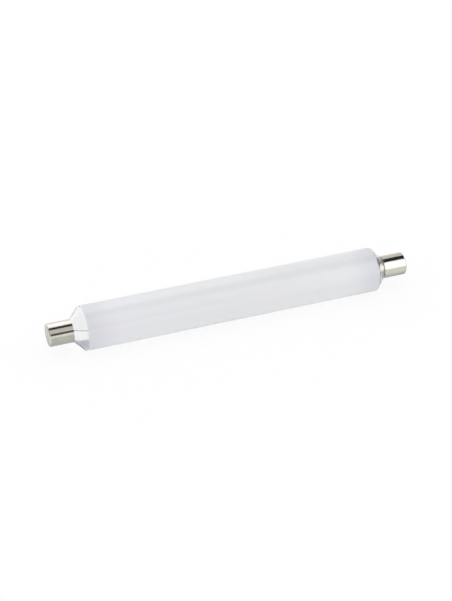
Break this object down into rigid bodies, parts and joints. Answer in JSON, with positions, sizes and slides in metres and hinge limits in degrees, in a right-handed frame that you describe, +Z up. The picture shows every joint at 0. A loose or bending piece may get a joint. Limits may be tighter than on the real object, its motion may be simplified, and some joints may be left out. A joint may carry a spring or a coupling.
{
  "type": "tubular filament lamp",
  "caption": "Double-ended tubular filament lamp: an inside-frosted glass tube with clear shoulders and a plain plated push-in cap at each end.",
  "frame": {"origin": "middle of the tube's axis, midway between the two cap ends", "axes": "+X along the lamp's axis towards the end with the sealed exhaust tube, +Z up, with the support arbor above the filament"},
  "size_m": [0.31, 0.037, 0.037],
  "materials": {
    "bulb_glass": "satin",
    "nickel_plate": "polished",
    "cement": "matte",
    "stem_glass": "gloss",
    "nickel_wire": "satin",
    "copper_sheath": "satin",
    "copper_wire": "satin",
    "molybdenum": "satin",
    "tungsten": "satin",
    "solder": "satin"
  },
  "bodies": {
    "root": {"glass_bulb": "bulb_glass", "filament": "tungsten", "support_arbor": "stem_glass", "arbor_anchor": "nickel_wire", "arbor_bridge": "nickel_wire", "filament_support_1": "molybdenum", "filament_support_2": "molybdenum", "filament_support_3": "molybdenum", "filament_support_4": "molybdenum", "filament_support_5": "molybdenum", "filament_support_6": "molybdenum", "left_cap": "nickel_plate", "left_cement": "cement", "left_stem": "stem_glass", "left_inner_lead": "nickel_wire", "left_seal_wire": "copper_sheath", "left_outer_lead": "copper_wire", "left_solder": "solder", "right_cap": "nickel_plate", "right_cement": "cement", "right_stem": "stem_glass", "right_inner_lead": "nickel_wire", "right_seal_wire": "copper_sheath", "right_outer_lead": "copper_wire", "right_solder": "solder"}
  },
  "joints": []
}
